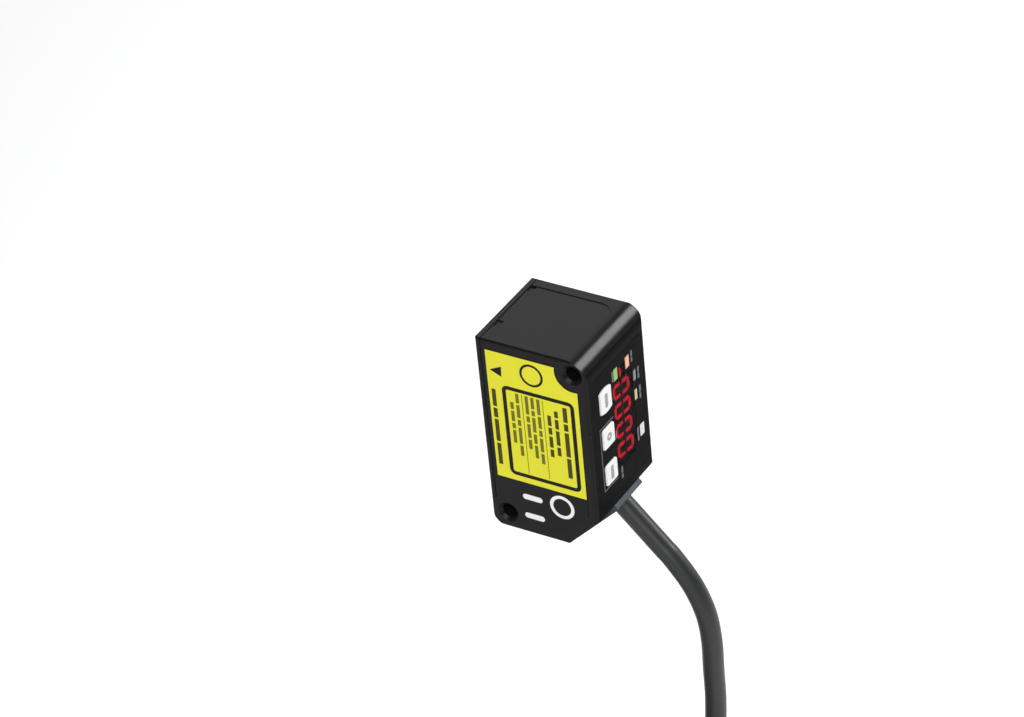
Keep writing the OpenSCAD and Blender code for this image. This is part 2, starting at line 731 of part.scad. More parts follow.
// A key: its cap goes through the panel, a rim behind keeps it in, and a stem faces its switch
module key(i) {
    middle = [key_y + key_w / 2, key_z[i] + key_h / 2];
    rim = [key_w / 2 + key_rim, key_h / 2 + key_rim + (i == 0 ? key_arch : 0)];
    in_frame() {
        along_x(panel_x0 - key_rim_gap, body_d + key_proud) key_outline(i, 0);
        along_x(key_back, panel_x0 - key_rim_gap) rect(middle - rim, middle + rim);
        rod_x(stem_x, key_back, middle.x, middle.y, key_stem_d);
    }
}

module teach_key() { color("#f2f2f0") key(0); }
module up_key() { color("#f2f2f0") key(1); }
module down_key() { color("#f2f2f0") key(2); }

module key_switches() {
    color("#3a3a3c") in_frame() for (z = key_z) {
        middle = [key_y + key_w / 2, z + key_h / 2];
        half = [switch_side / 2, switch_side / 2];
        along_x(board_x1, board_x1 + switch_h) rect(middle - half, middle + half);
        rod_x(board_x1 + switch_h, plunger_x, middle.x, middle.y, plunger_d);
    }
}

module lamp(at, w, h) { in_frame() along_x(lamp_x0, body_d) lamp_outline(at, w, h, 0); }
module laser_lamp() { color("#8fd22c") lamp(laser_lamp_at, main_lamp_w, main_lamp_h); }
module output_lamp() { color("#f5b27a") lamp(output_lamp_at, main_lamp_w, main_lamp_h); }
module mode_lamp() { color("#8a8c8a") lamp(mode_lamp_at, side_lamp_w, side_lamp_h); }
module zero_lamp() { color("#d9d68a") lamp(zero_lamp_at, side_lamp_w, side_lamp_h); }

module lamp_leds() {
    half = [led_side / 2, led_side / 2];
    color("#e8e4c8") in_frame() for (at = [laser_lamp_at, output_lamp_at, mode_lamp_at, zero_lamp_at])
        along_x(board_x1, board_x1 + led_h) rect(at - half, at + half);
}

// Display: a block behind the window, with seven light bars for each digit and one for the minus sign

module digit_display() {
    color("#18181a") in_frame() along_x(board_x1, display_face) window_outline(-window_margin / 2);
}

// Pointed bar from p to q
module light_bar(p, q) {
    d = unit(q - p);
    side = [-d.y, d.x] * segment_t / 2;
    tip = segment_gap * d;
    shoulder = (segment_gap + segment_t / 2) * d;
    polygon([p + tip, p + shoulder + side, q - shoulder + side,
        q - tip, q - shoulder - side, p + shoulder - side]);
}

module digit_bars(z) {
    along = (digit_w - segment_t) / 2;
    up = (digit_h - segment_t) / 2;
    corner = [for (v = [-1, 0, 1]) [for (u = [-1, 1])
        [digit_y + v * up, z + u * along - v * digit_lean / 2]]];
    for (v = [0 : 2]) light_bar(corner[v][0], corner[v][1]);
    for (v = [0, 1], u = [0, 1]) light_bar(corner[v][u], corner[v + 1][u]);
}

module digit_segments() {
    color("#d3182c") in_frame() along_x(display_face, display_face + segment_rise) {
        for (z = digit_z) digit_bars(z);
        light_bar([digit_y, minus_z - minus_l / 2], [digit_y, minus_z + minus_l / 2]);
    }
}

// Boards

module display_board() {
    inset = [board_gap, board_gap];
    color("#1f5a34") in_frame() along_x(board_x0, board_x1) rect(ledge_lo + inset, ledge_hi - inset);
}

module main_board() { color("#1f5a34") in_frame() along_y(main_y0, main_y1) rect(main_lo, main_hi); }

module board_chips() {
    processor = [flex_at.x - connector_w - main_gap - processor_side, flex_z + main_gap];
    supply = [processor.x, main_hi.y - supply_side - main_gap];
    color("#1c1c1e") in_frame() {
        along_y(main_y0 - chip_t, main_y0) rect(processor, processor + [processor_side, processor_side]);
        along_y(main_y0 - chip_t, main_y0) rect(supply, supply + [supply_side, supply_side]);
    }
}

// One connector on each board; the flexible strip runs between their open ends
module board_connectors() {
    z = [flex_z, flex_z + connector_l];
    color("#d8d4c4") in_frame() {
        block([flex_at.x - connector_w, main_y0 - connector_h, z[0]], [flex_at.x, main_y0, z[1]]);
        block([board_x0 - connector_h, flex_at.y - connector_w, z[0]], [board_x0, flex_at.y, z[1]]);
    }
}

module board_flex() {
    color("#c98a2e") in_frame() translate([flex_at.x, flex_at.y, flex_z + flex_margin])
        rotate_extrude(angle = 90)
            rect([flex_r - flex_t / 2, 0], [flex_r + flex_t / 2, connector_l - 2 * flex_margin]);
}

// Optics

module optics_base() {
    color("#55585c") in_frame() difference() {
        union() {
            along_y(base_y0, base_y1) rect(base_lo, base_hi);
            block([base_x0, base_y1 - pad_root, beam_z - barrel_half],
                [base_x0 + barrel_l, mid_y + barrel_half, base_hi.y]);
            block([base_x0, base_y1 - pad_root, receive_z - lens_half],
                [base_x0 + lens_block_d, mid_y + lens_half, receive_z + lens_half]);
            image_foot();
        }
        rod_x(base_x0 - spill, base_x0 + barrel_l + spill, mid_y, beam_z, barrel_d + 2 * seat_gap);
        on_receive_axis(-lens_block_d) cylinder(d = lens_d + 2 * seat_gap, h = 2 * lens_block_d);
        for (p = base_screw_at) rod_y(base_y0 - spill, base_y1 + spill, p.x, p.y, screw_d + 2 * screw_gap);
    }
}

// Foot on the optics base that the image chip's board is screwed against
module image_foot() {
    on_receive_axis(image_dist + image_t + board_t)
        translate([-image_foot_h / 2, base_y1 - pad_root - mid_y, 0])
            cube([image_foot_h, mid_y - image_w / 2 - base_y1, image_foot_t]);
}

module base_screws() {
    color("#b8b8bc") in_frame() for (p = base_screw_at) difference() {
        union() {
            rod_y(base_y0 - screw_bite, base_y1 + pad_root, p.x, p.y, screw_d);
            rod_y(base_y1, base_y1 + screw_head_h, p.x, p.y, screw_head_d);
        }
        block([p.x - screw_head_d, base_y1 + screw_head_h / 2, p.y - screw_d / 8],
            [p.x + screw_head_d, base_y1 + screw_head_h + spill, p.y + screw_d / 8]);
    }
}

module laser_barrel() {
    lens_x1 = base_x0 + beam_lens_edge + beam_lens_bulge;
    color("#b08d4a") in_frame() difference() {
        rod_x(base_x0, diode_x, mid_y, beam_z, barrel_d);
        rod_x(base_x0 - spill, lens_x1, mid_y, beam_z, beam_lens_d + 2 * seat_gap);
        rod_x(base_x0, diode_x, mid_y, beam_z, diode_cap_d + 2 * seat_gap);
        rod_x(diode_x - diode_flange_t, diode_x + spill, mid_y, beam_z, diode_flange_d + 2 * seat_gap);
    }
}

module laser_diode() {
    pins = [for (a = [90, 210, 330]) pin_ring_r * [cos(a), sin(a)]];
    flange_x = diode_x - diode_flange_t;
    color("#c9c4b4") in_frame() {
        rod_x(flange_x, diode_x, mid_y, beam_z, diode_flange_d);
        rod_x(flange_x - diode_cap_l, flange_x + pad_root, mid_y, beam_z, diode_cap_d);
        for (p = pins) rod_x(diode_x - pad_root, diode_x + pin_l, mid_y + p.x, beam_z + p.y, pin_d);
    }
}

// Half section of a lens, about the Y axis: a flat edge with a bulge on each side
module lens_section(d, edge, bulge_a, bulge_b) {
    function ball(b) = (d * d / 4 + b * b) / (2 * b);
    rect([0, 0], [d / 2, edge]);
    for (side = [[bulge_a, edge, -1], [bulge_b, 0, 1]]) if (side[0] > 0) intersection() {
        translate([0, side[1] + side[2] * (ball(side[0]) - side[0])]) circle(ball(side[0]));
        rect([0, side[2] < 0 ? edge / 2 : -side[0]], [d / 2, side[2] < 0 ? edge + side[0] : edge / 2]);
    }
}

module beam_lens() {
    color("#bcd3e6") in_frame() translate([base_x0 + beam_lens_edge + beam_lens_bulge, mid_y, beam_z])
        rotate([0, -90, 0]) rotate_extrude() lens_section(beam_lens_d, beam_lens_edge, beam_lens_bulge, 0);
}

module receiving_lens() {
    color("#bcd3e6") in_frame() on_receive_axis(-lens_edge / 2)
        rotate_extrude() lens_section(lens_d, lens_edge, lens_bulge, lens_bulge);
}

module image_chip() {
    color("#26262a") in_frame() on_receive_axis(image_dist)
        translate([-image_h / 2, -image_w / 2, 0]) cube([image_h, image_w, image_t]);
}

module image_board() {
    color("#1f5a34") in_frame() on_receive_axis(image_dist + image_t)
        translate([-image_board_h / 2, -image_board_w / 2, 0])
            cube([image_board_h, image_board_w, board_t]);
}

// Label, boot and cable

module label() {
    m = label_margin;
    cut = body_d - bevel - m / cos(45);
    color("#e9e63c") in_frame() along_y(-label_t, 0) difference() {
        polygon([[m, m], [cut + m, m], [body_d - m, body_d - m - cut],
            [body_d - m, body_h - m], [m, body_h - m]]);
        translate(upper_hole) circle(upper_cut_r);
        translate(lower_hole) circle(lower_cut_r);
    }
}

module cable_boot() {
    foot = exit_at - boot_h * bevel_out;
    color("#3c4048") in_frame() {
        on_bevel(foot) linear_extrude(boot_h)
            round_rect([-boot_exit, -boot_w / 2], [boot_l - boot_exit, boot_w / 2], all_corners(boot_r));
        on_bevel(neck_end) cylinder(d = neck_d, h = neck_l + boot_h / 2);
    }
}

// Inner leads from the boot's neck to the lower edge of the main board
module lead_wires() {
    color("#7a4a2a") in_frame() for (i = [0 : core_count - 1]) {
        start = neck_end + ((i - (core_count - 1) / 2) * lead_pitch - lead_drop) * bevel_up;
        land = [main_hi.x - land_pitch, main_y0 - lead_d / 2 - land_gap,
            main_lo.y + 2 * lead_d + i * land_pitch];
        sweep([start, start - bevel_out, start - 2 * bevel_out + [0, 1, 0],
            (start + land) / 2 + [-1, 1, 0], land + [lead_d, -lead_d, 0], land - [4 * lead_d, 0, 0]],
            lead_d / 2, 6);
    }
}

module cable() { color("#3a3c3e") sweep(cable_route, cable_d / 2, 10); }

module cable_coil() {
    color("#3a3c3e") translate(coil_at) rotate_extrude($fn = 96)
        rect([coil_r - coil_half, 0], [coil_r + coil_half, coil_height]);
}

// Band round all the turns, on the side of the coil away from the route
module coil_tie() {
    gap = [tie_gap, 0, 0];
    band = [tie_t, 0, tie_t];
    lo = coil_at + [-coil_r - coil_half, -tie_w / 2, 0] - gap;
    hi = coil_at + [-coil_r + coil_half, tie_w / 2, coil_height] + gap;
    color("#1c1c1e") difference() {
        block(lo - band, hi + band);
        block(lo - [0, spill, 0], hi + [0, spill, 0]);
    }
}

module cable_tail() {
    color("#3a3c3e") translate(tail_at) rotate([90, 0, 0]) cylinder(d = cable_d, h = tail_l);
}

module core_ends() {
    color("#9a6a3a") translate(tail_at - [0, tail_l, 0]) rotate([90, 0, 0])
        for (i = [0 : core_count - 1]) rotate(90 + 360 * i / core_count)
            translate([core_ring_r, 0, 0]) cylinder(d = core_d, h = core_l);
}

housing();
front_cover();
front_seal();
aperture_plate();
rear_panel();
panel_seal();
display_window();
teach_key();
up_key();
down_key();
key_switches();
digit_display();
digit_segments();
laser_lamp();
output_lamp();
mode_lamp();
zero_lamp();
lamp_leds();
display_board();
main_board();
board_chips();
board_connectors();
board_flex();
optics_base();
base_screws();
laser_barrel();
laser_diode();
beam_lens();
receiving_lens();
image_chip();
image_board();
label();
cable_boot();
lead_wires();
cable();
cable_coil();
coil_tie();
cable_tail();
core_ends();
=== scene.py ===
# Compact laser displacement sensor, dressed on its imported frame. Sizes in the dictionaries are in millimetres
import json
import math

import bpy
import bmesh
from mathutils import Matrix, Vector


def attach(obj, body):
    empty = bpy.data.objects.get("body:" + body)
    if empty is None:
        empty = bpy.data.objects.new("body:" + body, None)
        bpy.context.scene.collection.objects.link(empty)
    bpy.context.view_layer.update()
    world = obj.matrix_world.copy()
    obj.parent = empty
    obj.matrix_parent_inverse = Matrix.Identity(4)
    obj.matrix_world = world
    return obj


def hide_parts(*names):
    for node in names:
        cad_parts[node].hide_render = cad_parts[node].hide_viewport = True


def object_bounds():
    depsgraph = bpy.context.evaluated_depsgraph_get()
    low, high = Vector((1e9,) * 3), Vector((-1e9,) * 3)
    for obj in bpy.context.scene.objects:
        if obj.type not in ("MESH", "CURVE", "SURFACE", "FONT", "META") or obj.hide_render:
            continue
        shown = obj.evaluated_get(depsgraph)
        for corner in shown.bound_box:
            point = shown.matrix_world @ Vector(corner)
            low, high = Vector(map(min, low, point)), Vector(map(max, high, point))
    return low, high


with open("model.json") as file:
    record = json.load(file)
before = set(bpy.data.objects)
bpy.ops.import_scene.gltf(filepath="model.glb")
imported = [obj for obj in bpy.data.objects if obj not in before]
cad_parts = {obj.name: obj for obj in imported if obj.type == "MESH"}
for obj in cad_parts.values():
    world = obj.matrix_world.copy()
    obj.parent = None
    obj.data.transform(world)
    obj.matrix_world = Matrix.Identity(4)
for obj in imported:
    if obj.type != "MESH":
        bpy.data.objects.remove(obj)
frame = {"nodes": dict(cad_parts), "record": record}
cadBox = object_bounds()
nodes = frame["nodes"]
mm = 0.001
print("frame loaded with", len(nodes), "nodes")


def hexColor(code):
    # sRGB hex to linear
    parts = [int(code[i:i + 2], 16) / 255 for i in (1, 3, 5)]
    return [c / 12.92 if c <= 0.04045 else ((c + 0.055) / 1.055) ** 2.4 for c in parts] + [1]


def addNode(tree, kind, inputs=None, **settings):
    # inputs holds values or sockets, by name or number
    node = tree.nodes.new(kind)
    for name, value in settings.items():
        setattr(node, name, value)
    for name, value in (inputs or {}).items():
        if isinstance(value, bpy.types.NodeSocket):
            tree.links.new(value, node.inputs[name])
        else:
            node.inputs[name].default_value = value
    return node


grainSet = {"fineDetail": 3, "cloudSize": 25, "cloudDetail": 2, "cloudLow": 0.3, "cloudHigh": 0.7, "bump": 0.5}


def grained(name, dark, light, grain, depth, rough, specular=0.5, **sockets):
    # cloudy colour, uneven gloss and a fine bump; grain and depth in mm, rough as (low, high)
    material = bpy.data.materials.new(name)
    material.use_nodes = True
    tree = material.node_tree
    shader = tree.nodes["Principled BSDF"]
    shader.inputs["Specular IOR Level"].default_value = specular
    for socket, value in sockets.items():
        shader.inputs[socket].default_value = value
    place = addNode(tree, "ShaderNodeTexCoord").outputs["Object"]
    fine = addNode(tree, "ShaderNodeTexNoise",
                   {"Vector": place, "Scale": 1 / (grain * mm), "Detail": grainSet["fineDetail"]})
    cloudScale = 1 / (grain * grainSet["cloudSize"] * mm)
    clouds = addNode(tree, "ShaderNodeTexNoise",
                     {"Vector": place, "Scale": cloudScale, "Detail": grainSet["cloudDetail"]}).outputs["Fac"]
    tint = addNode(tree, "ShaderNodeMix", {0: clouds, 6: hexColor(dark), 7: hexColor(light)}, data_type="RGBA")
    gloss = addNode(tree, "ShaderNodeMapRange",
                    {"Value": clouds, "From Min": grainSet["cloudLow"], "From Max": grainSet["cloudHigh"],
                     "To Min": rough[0], "To Max": rough[1]})
    bump = addNode(tree, "ShaderNodeBump",
                   {"Height": fine.outputs["Fac"], "Strength": grainSet["bump"], "Distance": depth * mm})
    tree.links.new(tint.outputs[2], shader.inputs["Base Color"])
    tree.links.new(gloss.outputs["Result"], shader.inputs["Roughness"])
    tree.links.new(bump.outputs["Normal"], shader.inputs["Normal"])
    return material


# Materials, by the record's slots

# grain, depth and gloss that several finishes share
paintSkin = (0.14, 0.004, (0.27, 0.3))
filmSkin = (0.5, 0.0015, (0.40, 0.48))
inkSkin = (0.5, 0.001, (0.42, 0.5))
guideSkin = (0.4, 0.002, (0.2, 0.3))

# matt black powder paint on die-cast aluminium: a fine dry grain that keeps reflections dim and wide
paintedAluminium = grained("paintedDieCastAluminium", "#131314", "#18181a", *paintSkin, specular=0.14)
# cast acrylic, dyed red through and through, so the lenses behind it only just show; coated, so it reflects little
frontAcrylic = grained("redDyedAcrylic", "#eceaea", "#f2f0f0", 0.8, 0.0003, (0.02, 0.03),
                       specular=0.1, **{"IOR": 1.3, "Transmission Weight": 1.0})
dyeSet = {"color": "#c48186", "perMetre": 700}
dye = addNode(frontAcrylic.node_tree, "ShaderNodeVolumeAbsorption",
              {"Color": hexColor(dyeSet["color"]), "Density": dyeSet["perMetre"]})
paneOutput = frontAcrylic.node_tree.nodes["Material Output"]
frontAcrylic.node_tree.links.new(dye.outputs[0], paneOutput.inputs["Volume"])
# enamel on the cover's edges and hooks, as dark as the paint beside it
edgeEnamel = grained("blackEnamel", "#131314", "#18181a", *paintSkin, specular=0.14)
# smoked acrylic with a coating against glare: nearly all light passes, hardly any comes back from its face
windowAcrylic = grained("smokedAcrylic", "#8a686c", "#8e6c70", 0.8, 0.0005, (0.02, 0.03),
                        **{"IOR": 1.06, "Transmission Weight": 1.0})
# moulded silicone rubber, dull
sealRubber = grained("siliconeRubber", "#141414", "#1a1a1a", 0.3, 0.004, (0.65, 0.8))
# blackened steel sheet
blackSheet = grained("blackenedSteelSheet", "#101010", "#161616", 0.2, 0.003, (0.5, 0.65))
# moulded polycarbonate with a fine spark-eroded texture, which scatters the floor's reflection
panelPlastic = grained("blackPolycarbonate", "#0c0c0d", "#101011", 0.12, 0.005, (0.42, 0.5), specular=0.014)
# painted shade: a darker, duller copy of the paint on the rear rim, so the rim and the panel read as one dark face
rearRimShadePaint = grained("paintedShadeRearRim", "#0e0e0f", "#121213", 0.14, 0.004, (0.45, 0.5), specular=0.02)
# moulded ABS, satin white
keyPlastic = grained("whiteAbs", "#ebebe9", "#f2f2f0", 0.25, 0.003, (0.45, 0.55), specular=0.2)
switchPlastic = grained("darkNylon", "#333335", "#3c3c3e", 0.2, 0.004, (0.5, 0.6))
# potting resin behind the light bars, dead black
displayPlastic = grained("blackDisplayResin", "#060606", "#080808", 0.3, 0.002, (0.5, 0.6), specular=0.05)
ledResin = grained("clearEpoxy", "#e2dcc2", "#ece6cc", 0.3, 0.001, (0.15, 0.25))
boardLaminate = grained("glassEpoxyLaminate", "#1c5231", "#246038", 0.5, 0.003, (0.35, 0.45))
chipResin = grained("mouldedEpoxy", "#19191b", "#202022", 0.1, 0.004, (0.6, 0.7))
connectorPlastic = grained("ivoryNylon", "#d3cdb9", "#ddd8c6", 0.2, 0.003, (0.45, 0.55))
flexFilm = grained("polyimideFilm", "#bd7f26", "#cc8f34", 0.6, 0.002, (0.25, 0.35))
# bead-blasted and black-anodised aluminium
opticsCast = grained("anodisedAluminium", "#34363a", "#3c3e42", 0.15, 0.004, (0.4, 0.5), Metallic=1.0)
screwSteel = grained("zincPlatedSteel", "#b4b4b6", "#c0c0c2", 0.3, 0.002, (0.25, 0.35), Metallic=1.0)
barrelBrass = grained("turnedBrass", "#a98545", "#b8944f", 0.2, 0.003, (0.2, 0.3), Metallic=1.0)
diodeMetal = grained("goldPlatedNickelIron", "#c3b88f", "#cdc29a", 0.3, 0.002, (0.2, 0.3), Metallic=1.0)
lensGlass = grained("coatedGlass", "#e6eef4", "#eaf2f8", 1.0, 0.0002, (0.01, 0.02),
                    **{"IOR": 1.52, "Transmission Weight": 1.0})
# polyester film with screen-printed ink: flat, with a slight satin skin
labelBlack = grained("blackPolyesterFilm", "#0d0d0e", "#111112", *filmSkin, specular=0.17)
yellowInk = grained("yellowPrintInk", "#e8e42c", "#ede838", *filmSkin, specular=0.25)
blackInk = grained("blackPrintInk", "#121210", "#171715", *inkSkin, specular=0.14)
whiteInk = grained("whitePrintInk", "#f4f4f4", "#fafafa", *inkSkin)
# one thin coat of white over black, so a little grey
thinWhiteInk = grained("thinWhitePrintInk", "#d6d6d4", "#dededc", *inkSkin, specular=0.2)
# black half-tone over the yellow: thin print that reads as dark olive
oliveInk = grained("halftonePrintInk", "#6f6c26", "#7a7729", *inkSkin, specular=0.14)
deepOliveInk = grained("denseHalftonePrintInk", "#423f16", "#4c491a", *inkSkin, specular=0.14)
greyInk = grained("greyPrintInk", "#5b5e61", "#65686b", *inkSkin, specular=0.2)
paleInk = grained("paleGreyPrintInk", "#8e9193", "#989b9d", *inkSkin)
# moulded elastomer, a little bluer and paler than the paint beside it
bootRubber = grained("blueGreyElastomer", "#343b43", "#3c444d", 0.2, 0.006, (0.45, 0.6), specular=0.25)
# extruded vinyl: satin, so the light runs along it as one soft band
cableSheath = grained("blackVinylSheath", "#1c1d1e", "#232425", 0.35, 0.005, (0.42, 0.48), specular=0.55)
leadInsulation = grained("brownInsulation", "#643518", "#70401f", 0.3, 0.002, (0.4, 0.5))
tieNylon = grained("blackNylon", "#161617", "#1c1c1d", 0.25, 0.004, (0.45, 0.55))
tinnedCopper = grained("tinnedCopper", "#bfb8ae", "#cbc4ba", 0.3, 0.004, (0.3, 0.4), Metallic=1.0)


def lit(name, color, glow, strength):
    # moulded light guide with light behind it
    material = grained(name, color, color, *guideSkin, IOR=1.49)
    shader = material.node_tree.nodes["Principled BSDF"]
    shader.inputs["Emission Color"].default_value = hexColor(glow)
    shader.inputs["Emission Strength"].default_value = strength
    return material


lampGreen = lit("greenLightGuide", "#74a236", "#8fd028", 0.14)
lampOrange = lit("orangeLightGuide", "#d69c74", "#f5a868", 0.14)
lampGrey = lit("unlitLightGuide", "#6c6f70", "#000000", 0.0)
lampYellow = lit("yellowLightGuide", "#b8ae80", "#d8d060", 0.06)

# red light bars; the middle bar of each digit stays dark, and the sign's bar above them is lit
digitSet = {"bar": "#c01028", "glow": "#ff2440", "strength": 1.75, "darkBar": "#0c0808", "noGlow": "#000000",
            "middleY": -9.15, "darkHalf": 0.42, "signZ": 10.7}
segmentRed = lit("redLightBar", digitSet["bar"], digitSet["glow"], digitSet["strength"])
barTree = segmentRed.node_tree
barShader = barTree.nodes["Principled BSDF"]
barPlace = addNode(barTree, "ShaderNodeSeparateXYZ", {0: addNode(barTree, "ShaderNodeTexCoord").outputs["Object"]})
atMiddle = addNode(barTree, "ShaderNodeMath",
                   {0: barPlace.outputs["Y"], 1: digitSet["middleY"] * mm, 2: digitSet["darkHalf"] * mm},
                   operation="COMPARE")
atSign = addNode(barTree, "ShaderNodeMath", {0: barPlace.outputs["Z"], 1: digitSet["signZ"] * mm},
                 operation="GREATER_THAN")
dark = addNode(barTree, "ShaderNodeMath", {0: atMiddle.outputs[0], 1: atSign.outputs[0]}, operation="SUBTRACT",
               use_clamp=True)
for socket, on, off in (("Base Color", "bar", "darkBar"), ("Emission Color", "glow", "noGlow")):
    tint = addNode(barTree, "ShaderNodeMix",
                   {0: dark.outputs[0], 6: hexColor(digitSet[on]), 7: hexColor(digitSet[off])}, data_type="RGBA")
    barTree.links.new(tint.outputs[2], barShader.inputs[socket])

slotMaterials = {
    "cast_body": paintedAluminium, "front_acrylic": frontAcrylic, "window_acrylic": windowAcrylic,
    "seal_rubber": sealRubber, "black_sheet": blackSheet, "panel_plastic": panelPlastic,
    "key_plastic": keyPlastic, "switch_plastic": switchPlastic, "display_plastic": displayPlastic,
    "segment_red": segmentRed, "lamp_green": lampGreen, "lamp_orange": lampOrange, "lamp_grey": lampGrey,
    "lamp_yellow": lampYellow, "led_resin": ledResin, "board_laminate": boardLaminate, "chip_resin": chipResin,
    "connector_plastic": connectorPlastic, "flex_film": flexFilm, "optics_cast": opticsCast,
    "screw_steel": screwSteel, "barrel_brass": barrelBrass, "diode_metal": diodeMetal, "lens_glass": lensGlass,
    "label_film": labelBlack, "boot_rubber": bootRubber, "lead_insulation": leadInsulation,
    "cable_sheath": cableSheath, "tie_plastic": tieNylon,
}
nodeSlots = {s["node"]: s["material_slot"] for s in frame["record"]["subparts"]}
for nodeName, nodeObject in nodes.items():
    nodeObject.data.materials.clear()
    nodeObject.data.materials.append(slotMaterials[nodeSlots[nodeName]])
rimShadeSet = {"face": 11.2, "flat": 0.93}       # least x of the rear rim, and how far its faces may lean
# housing faces that face the rear take the darker copy of the paint: painted shade instead of the floor's
# reflection
nodes["housing"].data.materials.append(rearRimShadePaint)
for face in nodes["housing"].data.polygons:
    if face.normal.x > rimShadeSet["flat"] and face.center.x > rimShadeSet["face"] * mm:
        face.material_index = 1
print("materials set on", len(nodes), "nodes")


def newObject(name, data):
    made = bpy.data.objects.new(name, data)
    bpy.context.scene.collection.objects.link(made)
    return made


def plainMesh(made):
    # the object's evaluated shape as a plain mesh; the object itself goes
    bpy.context.view_layer.update()
    mesh = bpy.data.meshes.new_from_object(made.evaluated_get(bpy.context.evaluated_depsgraph_get()))
    bpy.data.objects.remove(made)
    return mesh


def keep(piece, body, slotName, *replaced):
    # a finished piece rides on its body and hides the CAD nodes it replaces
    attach(piece, body)
    if replaced:
        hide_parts(*replaced)
    return piece


# Camera and light

cameraSet = {
    "location": (324.763, -513.044, 429.594),
    "right": (0.85887, 0.50527, -0.08396),
    "up": (-0.23097, 0.52836, 0.81700),
    "forward": (-0.45717, 0.68230, -0.57049),
    "lens": 134.601,
    "sensor": 36,
    "nearest": 10,
}
cameraData = bpy.data.cameras.new("photoCamera")
cameraData.lens = cameraSet["lens"]
cameraData.sensor_width = cameraSet["sensor"]
cameraData.clip_start = cameraSet["nearest"] * mm
camera = newObject("photoCamera", cameraData)
turn = Matrix((cameraSet["right"], cameraSet["up"], [-c for c in cameraSet["forward"]])).transposed()
camera.matrix_world = Matrix.Translation(Vector(cameraSet["location"]) * mm) @ turn.to_4x4()
bpy.context.scene.camera = camera
bpy.context.scene.view_settings.view_transform = "Standard"

softboxes = {
    # place, size along the first axis, size across it, first axis, watts
    "rearStrip": ((279, 423, 358), 330, 90, (-0.8, 0, 0.6), 3.5),
    "topSoftbox": ((-320, 480, 396), 500, 500, (1, 0, 0), 1.0),
    "labelSoftbox": ((200, -560, 400), 500, 500, (1, 0, 0), 3.4),
}
for lampName, (place, long, wide, along, watts) in softboxes.items():
    lampData = bpy.data.lights.new(lampName, "AREA")
    lampData.shape = "RECTANGLE"
    lampData.size = long * mm
    lampData.size_y = wide * mm
    lampData.energy = watts
    softbox = newObject(lampName, lampData)
    back = Vector(place).normalized()
    side = (Vector(along) - back * back.dot(Vector(along))).normalized()
    turn = Matrix((side, back.cross(side), back)).transposed()
    softbox.matrix_world = Matrix.Translation(Vector(place) * mm) @ turn.to_4x4()

worldSet = {"color": "#f2f4f6", "strength": 0.21}
world = bpy.data.worlds.new("studioWorld")
world.use_nodes = True
backdrop = world.node_tree.nodes["Background"]
backdrop.inputs["Color"].default_value = hexColor(worldSet["color"])
backdrop.inputs["Strength"].default_value = worldSet["strength"]
bpy.context.scene.world = world

floorSet = {"size": 4000, "squares": 8, "color": "#f0f0f0", "skin": (2, 0.01, (0.85, 0.9)), "lift": 0.24}
floorMesh = bpy.data.meshes.new("floor")
floorShape = bmesh.new()
bmesh.ops.create_grid(floorShape, x_segments=floorSet["squares"], y_segments=floorSet["squares"],
                      size=floorSet["size"] / 2 * mm)
floorShape.to_mesh(floorMesh)
floorShape.free()
floorMesh.transform(Matrix.Translation((0, 0, cadBox[0].z)))
floor = newObject("floor", floorMesh)
# matt white paper; it looks a little brighter than it lights, and keeps the shadow
floorPaper = grained("whitePaper", floorSet["color"], floorSet["color"], *floorSet["skin"],
                     specular=0, **{"Emission Color": (1, 1, 1, 1)})
paperTree = floorPaper.node_tree
rays = addNode(paperTree, "ShaderNodeLightPath").outputs
seen = rays["Is Camera Ray"]
for other in ("Is Glossy Ray", "Is Transmission Ray"):
    seen = addNode(paperTree, "ShaderNodeMath", {0: seen, 1: rays[other]}, operation="MAXIMUM").outputs[0]
lift = addNode(paperTree, "ShaderNodeMath", {0: seen, 1: floorSet["lift"]}, operation="MULTIPLY")
paperTree.links.new(lift.outputs[0], paperTree.nodes["Principled BSDF"].inputs["Emission Strength"])
floorMesh.materials.append(floorPaper)
print("camera, light and floor set")


# Flat pieces: drawn in u and v on a plane, in mm, and raised along w

def planeMatrix(origin, u, v, w):
    axes = Matrix((u, v, w)).transposed() * mm
    return Matrix.Translation(Vector(origin) * mm) @ axes.to_4x4()


planes = {
    # the CAD's own sizes count from the body's lower front corner on the label side
    "label": planeMatrix((-12.3, -22.1, -22.3), (1, 0, 0), (0, 0, 1), (0, -1, 0)),
    "rear": planeMatrix((11.7, -22, -22.3), (0, 1, 0), (0, 0, 1), (1, 0, 0)),
    "keyTop": planeMatrix((12, -22, -22.3), (0, 1, 0), (0, 0, 1), (1, 0, 0)),
    "cover": planeMatrix((-11.3, -22, -22.3), (0, 1, 0), (0, 0, 1), (1, 0, 0)),
    "coil": planeMatrix((-0.9, -42, -101.05), (1, 0, 0), (0, 0, 1), (0, -1, 0)),
}
printSet = {"thick": 0.03, "sunk": 0.005}


def cleanMesh(mesh, gap=1e-4):
    # joins doubled points and turns faces outwards
    shape = bmesh.new()
    shape.from_mesh(mesh)
    bmesh.ops.remove_doubles(shape, verts=shape.verts, dist=gap)
    bmesh.ops.recalc_face_normals(shape, faces=shape.faces)
    shape.to_mesh(mesh)
    shape.free()


def flatPiece(name, outlines, plane, low, high, material):
    # closed outlines; one inside another makes a hole
    curve = bpy.data.curves.new(name, "CURVE")
    curve.dimensions = "2D"
    curve.fill_mode = "BOTH"
    curve.extrude = (high - low) / 2
    for outline in outlines:
        loop = curve.splines.new("POLY")
        loop.points.add(len(outline) - 1)
        for point, (u, v) in zip(loop.points, outline):
            point.co = (u, v, 0, 1)
        loop.use_cyclic_u = True
    mesh = plainMesh(newObject(name + "Outline", curve))
    cleanMesh(mesh)
    mesh.transform(planes[plane] @ Matrix.Translation((0, 0, (low + high) / 2)))
    mesh.materials.clear()
    mesh.materials.append(material)
    mesh.name = name
    return newObject(name, mesh)


